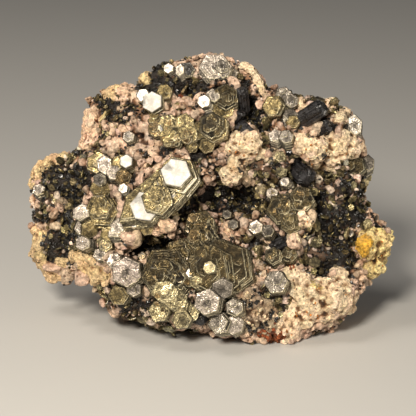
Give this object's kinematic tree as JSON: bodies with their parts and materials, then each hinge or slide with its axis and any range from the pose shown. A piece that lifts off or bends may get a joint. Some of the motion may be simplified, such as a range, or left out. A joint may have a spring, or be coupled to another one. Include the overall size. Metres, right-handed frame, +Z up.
{
  "type": "mica crystal specimen on matrix",
  "caption": "Natural mica specimen: six-sided books of thin mica plates and stubby dark prisms grown on a knobbly feldspar matrix, standing on a flat broken base.",
  "frame": {"origin": "on the surface it stands on, under the middle of the specimen and inside its flat base", "axes": "+X along the specimen's length, to the right seen from its crystal face, +Y away from the crystal face towards the broken back, +Z up"},
  "size_m": [0.0936, 0.0532, 0.0677],
  "materials": {
    "matrix": "rough granular feldspar with cream and ochre crust",
    "mica": "pearly to metallic cleavage plates, olive gold to silver grey",
    "dark_prism": "glossy black striated crystal faces"
  },
  "bodies": {
    "root": {"matrix": "matrix", "mica_centre_books": "mica", "mica_left_books": "mica", "mica_left_chevrons": "mica", "mica_upper_left_books": "mica", "mica_white_pair": "mica", "mica_white_button": "mica", "mica_top_left_bright": "mica", "mica_cheek_button": "mica", "mica_top_dark_group": "mica", "mica_crest_spark": "mica", "mica_top_book": "mica", "mica_top_bright_rosette": "mica", "mica_upper_rosette": "mica", "mica_rosette_foot": "mica", "mica_dark_gold_book": "mica", "mica_right_top_hex": "mica", "mica_right_top_stack": "mica", "mica_right_silver_pair": "mica", "mica_right_edge_book": "mica", "mica_right_dark_books": "mica", "mica_right_centre_books": "mica", "mica_centre_spark": "mica", "mica_centre_silver": "mica", "mica_cleft_high": "mica", "mica_cleft_low": "mica", "mica_great_rosette": "mica", "mica_rosette_button": "mica", "mica_rosette_crown": "mica", "mica_great_right_books": "mica", "mica_silver_fan": "mica", "mica_foot_books": "mica", "mica_lower_left_books": "mica", "mica_lower_left_gold": "mica", "mica_left_foot_silver": "mica", "mica_left_centre_plates": "mica", "mica_silver_button": "mica", "mica_gold_button": "mica", "mica_lower_right_hex": "mica", "mica_lower_right_pair": "mica", "mica_lobe_silver": "mica", "dark_prism_shoulder": "dark_prism", "dark_prism_shoulder_low": "dark_prism", "dark_prism_right": "dark_prism", "dark_prism_right_high": "dark_prism", "dark_prism_cave_high": "dark_prism", "dark_prism_cave": "dark_prism", "dark_prism_cave_low": "dark_prism", "dark_prism_low_right": "dark_prism", "dark_prism_foot": "dark_prism"}
  },
  "joints": []
}
